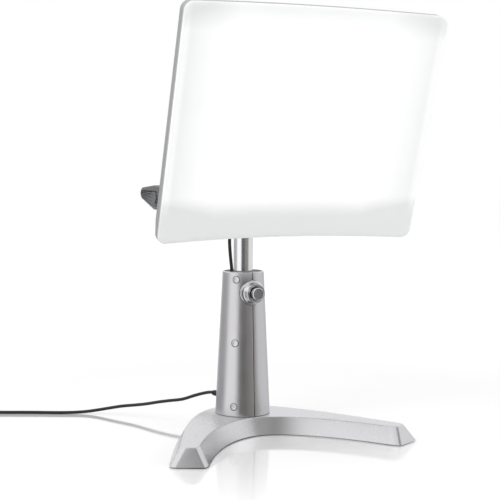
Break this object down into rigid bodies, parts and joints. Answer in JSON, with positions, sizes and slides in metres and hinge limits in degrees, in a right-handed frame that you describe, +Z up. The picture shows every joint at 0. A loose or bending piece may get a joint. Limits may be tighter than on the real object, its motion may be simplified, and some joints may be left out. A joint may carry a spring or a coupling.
{
  "type": "light therapy lamp",
  "caption": "Desk lamp with a large bowed light panel that tilts in a yoke, on a sliding pole in a tapered column over a horseshoe base.",
  "frame": {"origin": "centre of the middle foot's underside, below the pole's axis", "axes": "+Z up along the pole, the lit panel faces -Y, +X to the right of a person who looks at the lit panel"},
  "size_m": [0.6841, 0.5521, 0.6346],
  "materials": {
    "base_paint": "silver paint, satin",
    "silver_plastic": "silver paint on plastic, satin",
    "grey_plastic": "moulded grey plastic, fine grain",
    "dark_plastic": "moulded dark grey plastic",
    "black_plastic": "moulded black plastic",
    "white_plastic": "moulded white plastic",
    "opal_plastic": "opal diffuser, satin",
    "black_rubber": "soft black jacket",
    "lamp_glass": "white coated tube",
    "white_aluminium": "white coated reflector",
    "ballast_case": "case with a board inside",
    "steel": "zinc plated",
    "chrome": "polished",
    "brass": "bright"
  },
  "bodies": {
    "base": {"base_casting": "base_paint", "base_plate": "steel", "base_foot_1": "black_rubber", "base_foot_2": "black_rubber", "base_foot_3": "black_rubber", "base_foot_4": "black_rubber", "base_foot_5": "black_rubber", "base_plate_screw_1": "steel", "base_plate_screw_2": "steel", "base_plate_screw_3": "steel", "column_shell_left": "silver_plastic", "column_shell_right": "silver_plastic", "column_guide_tube": "steel", "column_guide_sleeve": "black_plastic", "column_top_bush": "dark_plastic", "column_screw_1": "steel", "column_screw_2": "steel", "column_screw_3": "steel", "column_screw_cap_1": "silver_plastic", "column_screw_cap_2": "silver_plastic", "column_screw_cap_3": "silver_plastic", "lock_collar": "grey_plastic", "lock_spring": "steel", "strain_relief": "black_rubber", "power_cord": "black_rubber", "power_cord_coil": "black_rubber", "plug_body": "black_plastic", "plug_blade_1": "brass", "plug_blade_2": "brass"},
    "lock": {"lock_button": "grey_plastic", "lock_slider": "steel"},
    "pole": {"pole_tube": "chrome", "pole_foot_bush": "black_plastic", "tilt_yoke": "dark_plastic", "yoke_set_screw": "steel", "lead_cable": "black_rubber", "lead_gland": "black_plastic"},
    "head": {"front_cover": "opal_plastic", "rear_housing": "grey_plastic", "reflector_tray": "white_aluminium", "lamp_1": "lamp_glass", "lamp_2": "lamp_glass", "lamp_3": "lamp_glass", "lamp_holder_1": "white_plastic", "lamp_holder_2": "white_plastic", "lamp_holder_3": "white_plastic", "ballast": "ballast_case", "cover_screw_1": "steel", "cover_screw_2": "steel", "cover_screw_3": "steel", "cover_screw_4": "steel", "pivot_bolt_left": "steel", "pivot_bolt_right": "steel", "friction_washer_left": "black_plastic", "friction_washer_right": "black_plastic", "switch_frame": "black_plastic"},
    "lever_left": {"tilt_lever_left": "dark_plastic"},
    "lever_right": {"tilt_lever_right": "dark_plastic"},
    "rocker": {"switch_rocker": "black_plastic"}
  },
  "joints": [
    {"name": "pole_slide", "type": "slide", "parent": "base", "child": "pole", "axis": [0, 0, 1], "range_m": [0, 0.16]},
    {"name": "lock_press", "type": "slide", "parent": "base", "child": "lock", "axis": [0, 1, 0], "range_m": [0, 0.003], "stiffness_N_per_m": 900, "springref_m": -0.004, "deforming": ["lock_spring"]},
    {"name": "panel_tilt", "type": "hinge", "parent": "pole", "child": "head", "pos_m": [0, -0.1265, 0.3682], "axis": [1, 0, 0], "range_deg": [-31.75, 23.25]},
    {"name": "lever_left_clamp", "type": "hinge", "parent": "head", "child": "lever_left", "pos_m": [-0.194, -0.1265, 0.3682], "axis": [1, 0, 0], "range_deg": [0, 60]},
    {"name": "lever_right_clamp", "type": "hinge", "parent": "head", "child": "lever_right", "pos_m": [0.194, -0.1265, 0.3682], "axis": [1, 0, 0], "range_deg": [0, 60]},
    {"name": "switch_rock", "type": "hinge", "parent": "head", "child": "rocker", "pos_m": [0.125, -0.1164, 0.4245], "axis": [1, 0, 0], "range_deg": [0, 16]}
  ]
}
